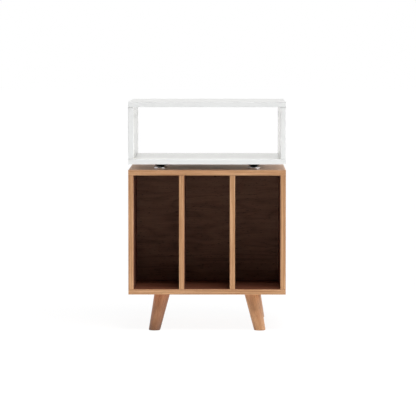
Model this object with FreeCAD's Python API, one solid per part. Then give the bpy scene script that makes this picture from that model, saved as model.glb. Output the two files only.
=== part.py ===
import FreeCAD, Part
import math
import os
from collections import namedtuple

# A hi-fi stand in two stacked units.
# The lower unit is a record cabinet: six veneered boards round three upright bays, a back panel let into
# grooves, and four splayed tapered legs.
# The upper unit is an open riser box of white boards, which stands loose on four levelling feet.
# Lengths are millimetres. Z is up, the front looks along -Y, and the origin is on the floor in the middle.

# Overall footprint, shared by both units
stand_width = 480.0
stand_depth = 450.0

# Record cabinet
cabinet_height = 380.0
cabinet_board = 16.0
bay_depth = 320.0
cabinet_lipping = 1.0
cabinet_lipping_round = 0.5
panel_thickness = 5.0
panel_tongue = 6.0
panel_clearance = 0.2

# Riser box
riser_height = 190.0
riser_board = 16.0
riser_lipping = 3.0
riser_lipping_round = 2.0
lipping_joint = 0.7

# Legs
leg_height = 113.0
leg_top_diameter = 47.5
leg_foot_diameter = 34.5
leg_side_inset = 102.0
leg_end_inset = 62.0
leg_side_splay = 24.0
leg_end_splay = 23.0
leg_rear_outset = 2.0
leg_foot_round = 3.0

# Hanger bolt, threaded insert and locating dowel that hold each leg
leg_bolt_diameter = 8.0
leg_bolt_in_leg = 30.0
leg_bolt_in_board = 12.0
leg_insert_diameter = 12.0
leg_insert_length = 13.0
leg_dowel_diameter = 6.0
leg_dowel_length = 20.0
leg_dowel_offset = 9.0

# Cam locks, which close the joints under each top board
cam_diameter = 15.0
cam_length = 12.0
cam_sink = 0.8
cam_face_web = 3.0
cam_chamber_diameter = 8.4
cam_slot_width = 4.6
cam_cross_width = 1.6
cam_cross_span = 8.0
cam_cross_sink = 1.5
cam_setback = 29.0
fixing_inset = 70.0

# Cam bolts, from the head in the cam to the thread in the top board
bolt_head_diameter = 7.0
bolt_head_length = 3.0
bolt_neck_diameter = 4.0
bolt_shank_diameter = 6.5
bolt_thread_diameter = 5.0
bolt_thread_length = 11.0

# Assembly screws, up through each bottom board
screw_head_diameter = 10.0
screw_head_cone = 3.0
screw_shank_diameter = 7.0
screw_thread_diameter = 5.0
screw_length = 50.0
screw_socket_span = 4.0
screw_socket_sink = 2.5

# Dowels at both ends of each upright
dowel_diameter = 8.0
dowel_length = 30.0
dowel_in_board = 11.0

# Levelling feet under the riser box, from the cabinet top upwards
foot_side_inset = 96.5
foot_end_inset = 80.0
foot_pad_diameter = 34.0
foot_pad_thickness = 1.6
foot_pad_proud = 0.8
foot_base_diameter = 40.0
foot_base_side = 5.8
foot_base_round = 1.2
foot_base_rise = 1.0
foot_hub_flats = 19.0
foot_hub_height = 5.6
foot_hub_chamfer = 0.8
foot_travel = 2.5
foot_stop_clearance = 0.3
foot_stem_diameter = 8.0
foot_stem_engagement = 10.0
foot_stem_head_diameter = 14.0
foot_stem_head_thickness = 1.6
foot_insert_diameter = 12.0
foot_insert_length = 12.5
foot_insert_flange_diameter = 34.0
foot_insert_flange = 1.5
foot_insert_recess_room = 0.8
foot_insert_chamfer = 1.6

# Clearances
fixing_fit = 0.1
hole_end_room = 0.5
stem_running_fit = 0.06
cut_overrun = 2.0

# Heights, from the floor up
cabinet_low = leg_height
cabinet_high = cabinet_low + cabinet_height
upright_low = cabinet_low + cabinet_board
upright_high = cabinet_high - cabinet_board
foot_base_low = cabinet_high + foot_pad_proud
foot_hub_low = foot_base_low + foot_base_side + foot_base_rise
foot_hub_high = foot_hub_low + foot_hub_height
foot_flange_low = foot_hub_high + foot_travel + foot_stop_clearance
riser_low = foot_flange_low + foot_insert_flange
riser_high = riser_low + riser_height
riser_upright_low = riser_low + riser_board
riser_upright_high = riser_high - riser_board

# Places across and along
half_width = stand_width / 2
front = -stand_depth / 2
rear = stand_depth / 2
cabinet_board_front = front + cabinet_lipping
riser_board_front = front + riser_lipping
panel_front = front + bay_depth
panel_rear = panel_front + panel_thickness
bay_width = (stand_width - 4 * cabinet_board) / 3

UP = FreeCAD.Vector(0, 0, 1)
ALONG_X = FreeCAD.Vector(1, 0, 0)
ORIGIN = FreeCAD.Vector(0, 0, 0)

# An upright board: its limits, and which way (+1 or -1 along X) the face with the cam locks looks.
Upright = namedtuple("Upright", "low_x high_x front_y rear_y low_z high_z looks")


def block(low_x, high_x, low_y, high_y, low_z, high_z):
    """A rectangular solid between three pairs of limits."""
    corner = FreeCAD.Vector(low_x, low_y, low_z)
    return Part.makeBox(high_x - low_x, high_y - low_y, high_z - low_z, corner)


def rod(diameter, low_z, high_z, x=0, y=0):
    """An upright cylinder between two heights."""
    return Part.makeCylinder(diameter / 2, high_z - low_z, FreeCAD.Vector(x, y, low_z), UP)


def at_radius(radius, height):
    """A point in the plane in which turned solids are drawn."""
    return FreeCAD.Vector(radius, 0, height)


def turned_wire(wire):
    """A solid turned about the Z axis from a closed outline beside it, as on a lathe."""
    return Part.Face(wire).revolve(ORIGIN, UP, 360)


def turned(outline):
    """A turned solid from (radius, height) pairs."""
    points = [at_radius(radius, height) for radius, height in outline]
    return turned_wire(Part.makePolygon(points + points[:1]))


def moved(shape, x, y, z=0):
    """A copy of a shape at another place."""
    copy = shape.copy()
    copy.translate(FreeCAD.Vector(x, y, z))
    return copy


def mirrored(shape):
    """The same shape on the other side of the stand's middle plane."""
    return shape.mirror(ORIGIN, ALONG_X)


def both_sides(shapes):
    """Shapes of the left half, followed by their mirror images on the right."""
    return shapes + [mirrored(shape) for shape in shapes]


def write(name, solids):
    """One file for each node: a single solid, or a group of like solids."""
    shape = solids[0] if len(solids) == 1 else Part.makeCompound(solids)
    shape.exportStep("parts/" + name + ".step")


def cabinet_side_left():
    return Upright(-half_width, cabinet_board - half_width, cabinet_board_front, rear,
                   upright_low, upright_high, 1)


def cabinet_divider_left():
    high_x = -bay_width / 2
    return Upright(high_x - cabinet_board, high_x, cabinet_board_front, panel_front,
                   upright_low, upright_high, -1)


def riser_side_left():
    return Upright(-half_width, riser_board - half_width, riser_board_front, rear,
                   riser_upright_low, riser_upright_high, 1)


def middle_x(upright):
    return (upright.low_x + upright.high_x) / 2


def fixing_rows(upright):
    """The two places along an upright where a cam lock sits above and a screw below."""
    return (upright.front_y + fixing_inset, upright.rear_y - fixing_inset)


def dowel_row(upright):
    """Dowels stand half way between the two fixings."""
    return (upright.front_y + upright.rear_y) / 2


def cam_place(upright, y):
    """The middle of a cam's bore on the board's face, and the direction from there into the board."""
    face_x = upright.high_x if upright.looks > 0 else upright.low_x
    return FreeCAD.Vector(face_x, y, upright.high_z - cam_setback), FreeCAD.Vector(-upright.looks, 0, 0)


def cam_lock(upright, y):
    """A cam: a short sunk drum with a hollow for the bolt's head, an open slot and a cross on its face."""
    mouth, inwards = cam_place(upright, y)
    place = mouth + inwards * cam_sink
    drum = Part.makeCylinder(cam_diameter / 2, cam_length, place, inwards)
    web_end = place + inwards * cam_face_web
    chamber = Part.makeCylinder(cam_chamber_diameter / 2, cam_length, web_end, inwards)
    slot_start_x = min(web_end.x, web_end.x + inwards.x * cam_length)
    slot = block(slot_start_x, slot_start_x + cam_length, y - cam_slot_width / 2, y + cam_slot_width / 2,
                 place.z, place.z + cam_diameter)
    cross_low_x = place.x - cam_cross_sink
    cross_high_x = place.x + cam_cross_sink
    flat_bar = block(cross_low_x, cross_high_x, y - cam_cross_span / 2, y + cam_cross_span / 2,
                     place.z - cam_cross_width / 2, place.z + cam_cross_width / 2)
    tall_bar = block(cross_low_x, cross_high_x, y - cam_cross_width / 2, y + cam_cross_width / 2,
                     place.z - cam_cross_span / 2, place.z + cam_cross_span / 2)
    return drum.cut([chamber, slot, flat_bar, tall_bar])


def cam_bolt(upright, y):
    """A cam bolt: a head in the cam, a neck through its slot, a shank, and a thread in the top board."""
    head_low = -cam_setback - bolt_head_length / 2
    head_high = head_low + bolt_head_length
    neck_high = -cam_setback + cam_diameter / 2 + hole_end_room
    profile = [(0, head_low), (bolt_head_diameter / 2, head_low), (bolt_head_diameter / 2, head_high),
               (bolt_neck_diameter / 2, head_high), (bolt_neck_diameter / 2, neck_high),
               (bolt_shank_diameter / 2, neck_high), (bolt_shank_diameter / 2, 0),
               (bolt_thread_diameter / 2, 0), (bolt_thread_diameter / 2, bolt_thread_length),
               (0, bolt_thread_length)]
    return moved(turned(profile), middle_x(upright), y, upright.high_z)


def cam_room(upright, y):
    """What is bored out of an upright for a cam, and from its top edge for the cam's bolt."""
    mouth, inwards = cam_place(upright, y)
    pocket_depth = cam_sink + cam_length + hole_end_room
    pocket = Part.makeCylinder(cam_diameter / 2 + fixing_fit, pocket_depth, mouth, inwards)
    bore = rod(bolt_head_diameter + 2 * hole_end_room, mouth.z, upright.high_z, middle_x(upright), y)
    return pocket.fuse(bore)


def cam_bolt_hole(upright, y):
    """The hole in the underside of a top board for a cam bolt's thread."""
    return rod(bolt_thread_diameter + 2 * fixing_fit, upright.high_z,
               upright.high_z + bolt_thread_length + hole_end_room, middle_x(upright), y)


def screw(upright, y, board):
    """An assembly screw with its flush coned head under the bottom board and a six-sided socket."""
    profile = [(0, 0), (screw_head_diameter / 2, 0), (screw_shank_diameter / 2, screw_head_cone),
               (screw_shank_diameter / 2, board), (screw_thread_diameter / 2, board),
               (screw_thread_diameter / 2, screw_length), (0, screw_length)]
    body = turned(profile)
    body = body.cut(prism(screw_socket_span, 0, screw_socket_sink))
    return moved(body, middle_x(upright), y, upright.low_z - board)


def screw_room(upright, y, board):
    """What is bored out of a bottom board and an upright for a screw."""
    low = upright.low_z - board
    shank = rod(screw_shank_diameter + 2 * fixing_fit, low, upright.low_z, middle_x(upright), y)
    cone = Part.makeCone(screw_head_diameter / 2 + fixing_fit, screw_shank_diameter / 2 + fixing_fit,
                         screw_head_cone, FreeCAD.Vector(middle_x(upright), y, low), UP)
    thread = rod(screw_thread_diameter + 2 * fixing_fit, upright.low_z, low + screw_length + hole_end_room,
                 middle_x(upright), y)
    return shank.fuse([cone, thread])


def prism(flats, low_z, high_z):
    """A six-sided prism, measured across its flats."""
    corner_radius = flats / math.sqrt(3)
    corners = []
    for number in range(6):
        angle = math.radians(60 * number)
        corner_x = corner_radius * math.cos(angle)
        corner_y = corner_radius * math.sin(angle)
        corners.append(FreeCAD.Vector(corner_x, corner_y, low_z))
    face = Part.Face(Part.makePolygon(corners + corners[:1]))
    return face.extrude(UP * (high_z - low_z))


def dowels(upright):
    """The upper and the lower dowel of an upright."""
    x = middle_x(upright)
    y = dowel_row(upright)
    upper_high = upright.high_z + dowel_in_board
    lower_low = upright.low_z - dowel_in_board
    return [rod(dowel_diameter, upper_high - dowel_length, upper_high, x, y),
            rod(dowel_diameter, lower_low, lower_low + dowel_length, x, y)]


def dowel_room(upright):
    """The two holes for an upright's dowels, through the joints."""
    x = middle_x(upright)
    y = dowel_row(upright)
    upper_high = upright.high_z + dowel_in_board
    lower_low = upright.low_z - dowel_in_board
    bore = dowel_diameter + 2 * fixing_fit
    return [rod(bore, upper_high - dowel_length - hole_end_room, upper_high + hole_end_room, x, y),
            rod(bore, lower_low - hole_end_room, lower_low + dowel_length + hole_end_room, x, y)]


def upright_rooms(upright, board):
    """Everything that is bored out of an upright."""
    rooms = dowel_room(upright)
    for y in fixing_rows(upright):
        rooms.append(cam_room(upright, y))
        rooms.append(screw_room(upright, y, board))
    return rooms


def top_board_rooms(uprights):
    """Everything that is bored into a top board over its left-hand uprights and their mirror images."""
    rooms = []
    for upright in uprights:
        rooms.extend(dowel_room(upright))
        rooms.extend(cam_bolt_hole(upright, y) for y in fixing_rows(upright))
    return both_sides(rooms)


def bottom_board_rooms(uprights, board):
    """Everything that is bored into a bottom board under its left-hand uprights and their mirror images."""
    rooms = []
    for upright in uprights:
        rooms.extend(dowel_room(upright))
        rooms.extend(screw_room(upright, y, board) for y in fixing_rows(upright))
    return both_sides(rooms)


def panel_groove():
    """The room for the back panel, with its clearance, where it runs into the four outer boards."""
    reach_x = half_width - cabinet_board + panel_tongue + panel_clearance
    return block(-reach_x, reach_x, panel_front - panel_clearance, panel_rear + panel_clearance,
                 upright_low - panel_tongue - panel_clearance, upright_high + panel_tongue + panel_clearance)


def back_panel():
    reach_x = half_width - cabinet_board + panel_tongue
    return block(-reach_x, reach_x, panel_front, panel_rear,
                 upright_low - panel_tongue, upright_high + panel_tongue)


def upright_board(upright):
    return block(upright.low_x, upright.high_x, upright.front_y, upright.rear_y,
                 upright.low_z, upright.high_z)


def cabinet_top():
    board = block(-half_width, half_width, cabinet_board_front, rear, upright_high, cabinet_high)
    return board.cut(top_board_rooms([cabinet_side_left(), cabinet_divider_left()]) + [panel_groove()])


def cabinet_bottom():
    board = block(-half_width, half_width, cabinet_board_front, rear, cabinet_low, upright_low)
    rooms = bottom_board_rooms([cabinet_side_left(), cabinet_divider_left()], cabinet_board)
    return board.cut(rooms + [panel_groove()] + leg_rooms())


def cabinet_side():
    upright = cabinet_side_left()
    return upright_board(upright).cut(upright_rooms(upright, cabinet_board) + [panel_groove()])


def divider():
    """A divider ends at the back panel, so it has no groove."""
    upright = cabinet_divider_left()
    return upright_board(upright).cut(upright_rooms(upright, cabinet_board))


def riser_top():
    board = block(-half_width, half_width, riser_board_front, rear, riser_upright_high, riser_high)
    return board.cut(top_board_rooms([riser_side_left()]))


def riser_bottom():
    board = block(-half_width, half_width, riser_board_front, rear, riser_low, riser_upright_low)
    rooms = bottom_board_rooms([riser_side_left()], riser_board)
    insert_bore = foot_insert_diameter + 2 * fixing_fit
    insert_high = riser_low + foot_insert_length + hole_end_room
    rooms.extend(rod(insert_bore, riser_low, insert_high, x, y) for x, y in foot_places().values())
    return board.cut(rooms)


def riser_side():
    upright = riser_side_left()
    return upright_board(upright).cut(upright_rooms(upright, riser_board))


def lipping(low_x, high_x, low_z, high_z, thickness, edge_round):
    """A strip on the front edge of a board, with its two long front corners rounded."""
    strip = block(low_x, high_x, front, front + thickness, low_z, high_z)
    length = max(high_x - low_x, high_z - low_z)
    long_front_edges = [edge for edge in strip.Edges
                        if edge.BoundBox.YMax < front + thickness / 2 and edge.Length > length / 2]
    return strip.makeFillet(edge_round, long_front_edges)


def upright_lipping(upright, thickness, edge_round):
    """The strip on an upright, a little short at both ends, which leaves the fine joint lines in front."""
    low_z = upright.low_z + lipping_joint
    high_z = upright.high_z - lipping_joint
    return lipping(upright.low_x, upright.high_x, low_z, high_z, thickness, edge_round)


def cabinet_lippings():
    """The six veneered strips, by node."""
    side = cabinet_side_left()
    middle = cabinet_divider_left()
    flat_strip = (cabinet_lipping, cabinet_lipping_round)
    strips = {
        "top_lipping": lipping(-half_width, half_width, upright_high, cabinet_high, *flat_strip),
        "bottom_lipping": lipping(-half_width, half_width, cabinet_low, upright_low, *flat_strip),
        "left_side_lipping": upright_lipping(side, *flat_strip),
        "left_divider_lipping": upright_lipping(middle, *flat_strip),
    }
    strips["right_side_lipping"] = mirrored(strips["left_side_lipping"])
    strips["right_divider_lipping"] = mirrored(strips["left_divider_lipping"])
    return strips


def riser_lippings():
    """The four rounded white strips, by node."""
    side = riser_side_left()
    round_strip = (riser_lipping, riser_lipping_round)
    strips = {
        "riser_top_lipping": lipping(-half_width, half_width, riser_upright_high, riser_high, *round_strip),
        "riser_bottom_lipping": lipping(-half_width, half_width, riser_low, riser_upright_low, *round_strip),
        "riser_left_lipping": upright_lipping(side, *round_strip),
    }
    strips["riser_right_lipping"] = mirrored(strips["riser_left_lipping"])
    return strips


def leg_places():
    """For each leg: the middle of its top face, and the way its foot leans out from there."""
    front_x = half_width - leg_side_inset
    rear_x = front_x + leg_rear_outset
    front_y = front + leg_end_inset
    rear_y = rear - leg_end_inset
    return {
        "front_left": (-front_x, front_y, -leg_side_splay, -leg_end_splay),
        "front_right": (front_x, front_y, leg_side_splay, -leg_end_splay),
        "rear_left": (-rear_x, rear_y, -leg_side_splay, leg_end_splay),
        "rear_right": (rear_x, rear_y, leg_side_splay, leg_end_splay),
    }


def leg(place):
    """A tapered round leg, cut level under the cabinet and on the floor, with its foot's edge rounded."""
    top_x, top_y, lean_x, lean_y = place
    top = FreeCAD.Vector(top_x, top_y, leg_height)
    foot = FreeCAD.Vector(top_x + lean_x, top_y + lean_y, 0)
    axis = foot - top
    taper = (leg_top_diameter - leg_foot_diameter) / 2
    # The cone is made longer than the leg at both ends, so that the level cuts reach all round it.
    spare = leg_top_diameter / leg_height
    start = top - axis * spare
    start_radius = leg_top_diameter / 2 + taper * spare
    end_radius = leg_foot_diameter / 2 - taper * spare
    cone = Part.makeCone(start_radius, end_radius, axis.Length * (1 + 2 * spare), start, axis)
    reach = leg_top_diameter + max(abs(lean_x), abs(lean_y))
    middle_reach = block(top_x - reach, top_x + reach, top_y - reach, top_y + reach, 0, leg_height)
    body = cone.common(middle_reach)
    foot_edges = [edge for edge in body.Edges if edge.BoundBox.ZMax < leg_foot_round]
    body = body.makeFillet(leg_foot_round, foot_edges)
    rooms = [
        rod(leg_bolt_diameter + 2 * fixing_fit, leg_height - leg_bolt_in_leg - hole_end_room, leg_height,
            top_x, top_y),
        leg_dowel_solid(place, fixing_fit, hole_end_room),
    ]
    return body.cut(rooms)


def leg_dowel_solid(place, fit=0, end_room=0):
    """The dowel beside a leg's bolt that stops it turning, or the room for it."""
    top_x, top_y, lean_x, lean_y = place
    x = top_x + math.copysign(leg_dowel_offset, lean_x)
    y = top_y + math.copysign(leg_dowel_offset, lean_y)
    reach = leg_dowel_length / 2 + end_room
    return rod(leg_dowel_diameter + 2 * fit, cabinet_low - reach, cabinet_low + reach, x, y)


def leg_bolt(place):
    top_x, top_y = place[:2]
    bolt_high = cabinet_low + leg_bolt_in_board
    return rod(leg_bolt_diameter, cabinet_low - leg_bolt_in_leg, bolt_high, top_x, top_y)


def leg_insert(place):
    """A threaded sleeve in the bottom board."""
    top_x, top_y = place[:2]
    sleeve_high = cabinet_low + leg_insert_length
    sleeve = rod(leg_insert_diameter, cabinet_low, sleeve_high, top_x, top_y)
    return sleeve.cut(rod(leg_bolt_diameter + 2 * fixing_fit, cabinet_low, sleeve_high, top_x, top_y))


def leg_rooms():
    """What is bored into the underside of the cabinet for the legs."""
    rooms = []
    for place in leg_places().values():
        top_x, top_y = place[:2]
        rooms.append(rod(leg_insert_diameter + 2 * fixing_fit, cabinet_low,
                         cabinet_low + leg_insert_length + hole_end_room, top_x, top_y))
        rooms.append(leg_dowel_solid(place, fixing_fit, hole_end_room))
    return rooms


def foot_places():
    x = half_width - foot_side_inset
    front_y = front + foot_end_inset
    rear_y = rear - foot_end_inset
    return {
        "front_left": (-x, front_y),
        "front_right": (x, front_y),
        "rear_left": (-x, rear_y),
        "rear_right": (x, rear_y),
    }


def foot_pad():
    """A rubber disc, let into the underside of the base."""
    return rod(foot_pad_diameter, cabinet_high, cabinet_high + foot_pad_thickness)


def foot_stem():
    """A threaded stem, whose flat head lies between the pad and the base."""
    head_low = cabinet_high + foot_pad_thickness
    head_high = head_low + foot_stem_head_thickness
    stem_high = riser_low + foot_stem_engagement
    return turned([(0, head_low), (foot_stem_head_diameter / 2, head_low),
                   (foot_stem_head_diameter / 2, head_high), (foot_stem_diameter / 2, head_high),
                   (foot_stem_diameter / 2, stem_high), (0, stem_high)])


def foot_base():
    """The plated base: a low cup with an upright side, a rounded shoulder and a shallow cone on top."""
    outer = foot_base_diameter / 2
    hub_seat = foot_hub_flats / 2
    # The arc of the shoulder runs from the upright side round to the slope of the cone.
    turn = math.pi / 2 - math.atan2(foot_base_rise, outer - hub_seat)
    middle_radius = outer - foot_base_round
    middle_z = foot_base_low + foot_base_side - foot_base_round * math.tan(turn / 2)

    def on_shoulder(angle):
        return at_radius(middle_radius + foot_base_round * math.cos(angle),
                         middle_z + foot_base_round * math.sin(angle))

    shoulder = Part.Arc(on_shoulder(0), on_shoulder(turn / 2), on_shoulder(turn)).toShape()
    corners = [on_shoulder(turn), at_radius(hub_seat, foot_hub_low), at_radius(0, foot_hub_low),
               at_radius(0, foot_base_low), at_radius(outer, foot_base_low), on_shoulder(0)]
    body = turned_wire(Part.Wire([shoulder] + Part.makePolygon(corners).Edges))
    head_low = cabinet_high + foot_pad_thickness
    rooms = [
        rod(foot_pad_diameter + 2 * fixing_fit, foot_base_low, head_low),
        rod(foot_stem_head_diameter + 2 * fixing_fit, head_low,
            head_low + foot_stem_head_thickness + fixing_fit),
        rod(foot_stem_diameter + 2 * fixing_fit, foot_base_low, foot_hub_low),
    ]
    return body.cut(rooms)


def foot_hub():
    """The black six-sided hub on the base, which fingers or a spanner turn."""
    body = prism(foot_hub_flats, foot_hub_low, foot_hub_high)
    corner_radius = foot_hub_flats / math.sqrt(3)
    height = foot_hub_high - foot_hub_low
    # A cone cuts the six upper corners, as on a turned nut.
    cone_radius = corner_radius + height - foot_hub_chamfer
    cone = Part.makeCone(cone_radius, cone_radius - height, height, FreeCAD.Vector(0, 0, foot_hub_low), UP)
    bore = rod(foot_stem_diameter + 2 * fixing_fit, foot_hub_low, foot_hub_high)
    return body.common(cone).cut(bore)


def foot_insert():
    """A threaded sleeve in the riser's bottom board, whose flange is a black cup that takes in the hub."""
    cup_low = foot_hub_low + foot_travel + foot_stop_clearance
    cup_radius = foot_insert_flange_diameter / 2
    recess_radius = foot_hub_flats / math.sqrt(3) + foot_insert_recess_room
    bore_radius = foot_stem_diameter / 2 + stem_running_fit
    sleeve_radius = foot_insert_diameter / 2
    sleeve_high = riser_low + foot_insert_length
    return turned([(bore_radius, foot_flange_low), (recess_radius, foot_flange_low), (recess_radius, cup_low),
                   (cup_radius - foot_insert_chamfer, cup_low), (cup_radius, cup_low + foot_insert_chamfer),
                   (cup_radius, riser_low), (sleeve_radius, riser_low),
                   (sleeve_radius, sleeve_high), (bore_radius, sleeve_high)])


def write_cabinet():
    write("cabinet_top", [cabinet_top()])
    write("cabinet_bottom", [cabinet_bottom()])
    side = cabinet_side()
    write("cabinet_left_side", [side])
    write("cabinet_right_side", [mirrored(side)])
    upright = divider()
    write("left_divider", [upright])
    write("right_divider", [mirrored(upright)])
    write("back_panel", [back_panel()])
    for name, strip in cabinet_lippings().items():
        write(name, [strip])
    write_fixings("cabinet", [cabinet_side_left(), cabinet_divider_left()], cabinet_board)


def write_fixings(unit, uprights, board):
    """The cam locks, cam bolts, screws and dowels of one unit, each kind as a group."""
    pairs = [(upright, y) for upright in uprights for y in fixing_rows(upright)]
    write(unit + "_cam_locks", both_sides([cam_lock(upright, y) for upright, y in pairs]))
    write(unit + "_cam_bolts", both_sides([cam_bolt(upright, y) for upright, y in pairs]))
    write(unit + "_screws", both_sides([screw(upright, y, board) for upright, y in pairs]))
    write(unit + "_dowels", both_sides([peg for upright in uprights for peg in dowels(upright)]))


def write_legs():
    places = leg_places()
    for name, place in places.items():
        write("leg_" + name, [leg(place)])
    write("leg_bolts", [leg_bolt(place) for place in places.values()])
    write("leg_inserts", [leg_insert(place) for place in places.values()])
    write("leg_dowels", [leg_dowel_solid(place) for place in places.values()])


def write_riser():
    write("riser_top", [riser_top()])
    write("riser_bottom", [riser_bottom()])
    side = riser_side()
    write("riser_left_side", [side])
    write("riser_right_side", [mirrored(side)])
    for name, strip in riser_lippings().items():
        write(name, [strip])
    write_fixings("riser", [riser_side_left()], riser_board)
    write("foot_inserts", [moved(foot_insert(), x, y) for x, y in foot_places().values()])


def write_feet():
    pieces = {"pad": foot_pad(), "stem": foot_stem(), "base": foot_base(), "hub": foot_hub()}
    for corner, (x, y) in foot_places().items():
        for piece, shape in pieces.items():
            write("foot_" + corner + "_" + piece, [moved(shape, x, y)])


os.makedirs("parts", exist_ok=True)
write_cabinet()
write_legs()
write_riser()
write_feet()
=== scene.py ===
# %% [markdown]
# The hi-fi stand arrives as a imported frame: every board, leg, lock and foot is already a mesh at
# its real size and place, in metres, and rides on the body that it belongs to. It could also be
# modelled again here, but then its joints and sizes would have to be kept right twice. So this
# lesson dresses the frame and adds four small caps. Nothing in the frame is moved or reshaped.

# %% Load the frame
import math
import bmesh
import bpy
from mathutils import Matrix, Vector


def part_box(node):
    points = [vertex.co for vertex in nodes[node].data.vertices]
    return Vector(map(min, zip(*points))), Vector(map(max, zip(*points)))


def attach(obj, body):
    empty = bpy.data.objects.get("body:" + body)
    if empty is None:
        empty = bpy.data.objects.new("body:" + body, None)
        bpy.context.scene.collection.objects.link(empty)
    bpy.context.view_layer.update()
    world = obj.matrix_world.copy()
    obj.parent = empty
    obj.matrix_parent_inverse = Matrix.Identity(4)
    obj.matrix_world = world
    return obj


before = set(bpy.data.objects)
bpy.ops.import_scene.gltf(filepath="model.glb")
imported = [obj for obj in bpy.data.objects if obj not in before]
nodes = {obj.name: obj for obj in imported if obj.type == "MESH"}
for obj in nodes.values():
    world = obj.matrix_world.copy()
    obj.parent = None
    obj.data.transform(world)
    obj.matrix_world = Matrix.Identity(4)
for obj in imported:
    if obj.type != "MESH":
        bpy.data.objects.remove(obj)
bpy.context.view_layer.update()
MM = 0.001
print("pieces in the frame:", len(nodes))

# %% [markdown]
# A paint maker gives a colour as a code on a card, and here it is a hex code. The renderer works
# with amounts of light instead. Each colour could be converted by hand, but one function turns
# every code to linear light, so the codes stay easy to compare with a photograph.

# %% Colour helper


def linear(code):
    """An sRGB hex colour as linear red, green, blue and a full alpha."""
    parts = [int(code[place:place + 2], 16) / 255 for place in (0, 2, 4)]
    return tuple(p / 12.92 if p <= 0.04045 else ((p + 0.055) / 1.055) ** 2.4
                 for p in parts) + (1.0,)


print("a mid grey gives off this share of white:", round(linear("808080")[0], 3))

# %% [markdown]
# A finish in Blender is a graph of nodes. The nodes could be placed by mouse, but a script can be
# read again, and changed in one place. One small function adds a node with its settings and its
# links, so that each finish below reads as a list of what it is made of. Another starts a finish
# with its shader and with the position on the piece, which all its patterns are measured in.
# An input is set by its name. Where a node has several of one name, it goes by its number: a Mix
# node takes its two numbers in 2 and 3, its vectors in 4 and 5, and its colours in 6 and 7.

# %% Node helper


def add(owner, kind, settings=None, links=None):
    """A new node: its settings by attribute or by input, and the sockets that feed its inputs."""
    node = owner.node_tree.nodes.new("ShaderNode" + kind)
    for name, value in (settings or {}).items():
        if isinstance(name, int) or name in node.inputs:
            node.inputs[name].default_value = value
        else:
            setattr(node, name, value)
    for name, socket in (links or {}).items():
        owner.node_tree.links.new(socket, node.inputs[name])
    return node


def start_finish(name):
    """An empty material, its shader, and the position on the piece."""
    material = bpy.data.materials.new(name)
    material.use_nodes = True
    material.node_tree.nodes.clear()
    shader = add(material, "BsdfPrincipled")
    add(material, "OutputMaterial", links={"Surface": shader.outputs["BSDF"]})
    position = add(material, "TexCoord").outputs["Object"]
    return material, shader, position


print("materials before the first finish:", len(bpy.data.materials))

# %% [markdown]
# The photograph was taken with a long lens from well in front of the stand, a little above its
# top and about five centimetres to the right of its middle. The place and angle come from lines
# whose real size is known: the corners of both boxes, the depth of the bays and the back edge of
# the white top. A shifted lens could frame it too, but a camera at that place gives the same
# outline without one.

# %% Camera
lens_mm = 224.77
sensor_mm = 36.0
camera_place = Vector((0.0535, -8.1176, 0.8813))
camera_pitch = math.radians(3.65)
camera_turn = math.radians(0.367)

camera_data = bpy.data.cameras.new("camera")
camera_data.sensor_width = sensor_mm
camera_data.lens = lens_mm
camera = bpy.data.objects.new("camera", camera_data)
camera.location = camera_place
camera.rotation_euler = (math.pi / 2 - camera_pitch, 0, camera_turn)
bpy.context.scene.collection.objects.link(camera)
bpy.context.scene.camera = camera
print("camera height in mm:", round(camera_place.z / MM))

# %% [markdown]
# In the photograph the bays are dark behind lit front edges, the right leg is brighter than the
# left, and the cabinet's top gets lighter towards the right under the white box. So a strong soft
# box hangs high on the front right, and a weaker one stands low on the right, where its light
# slips into the gap and under the cabinet. Area lamps near the stand could do it, but they would
# light the floor unevenly. A sun lamp with a wide angle acts as a large, distant soft box.

# %% Soft boxes
# Name, direction from the stand to the lamp, width in degrees, and level. The level is what a
# white card that faces the lamp would render at.
soft_boxes = (("high_soft_box", (0.26, -0.50, 1.00), 36, 0.45),
              ("right_soft_box", (1.00, -0.30, 0.22), 30, 0.20))

for lamp_name, towards, width_degrees, level in soft_boxes:
    lamp = bpy.data.lights.new(lamp_name, "SUN")
    lamp.energy = level * math.pi
    lamp.angle = math.radians(width_degrees)
    lamp_object = bpy.data.objects.new(lamp_name, lamp)
    lamp_object.rotation_euler = (-Vector(towards)).to_track_quat("-Z", "Y").to_euler()
    bpy.context.scene.collection.objects.link(lamp_object)
    print(lamp_name, "in watts per square metre:", round(lamp.energy, 2))

# %% [markdown]
# A photographer washes the floor in front of an object with one more lamp, until the paper is
# white. The light that it throws back brightens the legs and the undersides as well. A stronger
# soft box could do this too, but it would overexpose the white box. So a spot lamp hangs high
# and well in front, and lights the floor and the front edges.

# %% Floor wash
wash_height = 4.0
wash_distance = 2.70
wash_to_right = 0.30
wash_level = 0.80

wash = bpy.data.lights.new("floor_wash", "SPOT")
# A white card straight below a spot of P watts at a height h renders at P / (4 pi^2 h^2).
wash.energy = wash_level * 4 * math.pi ** 2 * wash_height ** 2
wash.spot_size = math.radians(70)
wash.spot_blend = 0.3
wash.shadow_soft_size = 0.4
wash_object = bpy.data.objects.new("floor_wash", wash)
wash_object.location = (wash_to_right, -wash_distance, wash_height)
bpy.context.scene.collection.objects.link(wash_object)
print("floor wash in watts:", round(wash.energy))

# %% [markdown]
# The room in front of a photographer's white sweep is dark, and the sweep behind the object is
# bright. So the light of the surroundings grows from front to back, and is weak overhead. One
# even white would be simpler, but then the bays and the gap would lose their dark depth. Mirrors
# such as chrome are what the dark room shows in most, so for them it is darker still, and its
# edges are sharp.

# %% Levels of the surroundings
sky_in_front = 0.18
sky_behind = 1.70
sky_edges = (-0.6, 0.6)
sky_overhead_share = 0.12
room_direction = Vector((-0.14, -0.99, 0.0))
room_edges = (0.70, 0.86)
room_level = 0.04

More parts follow.
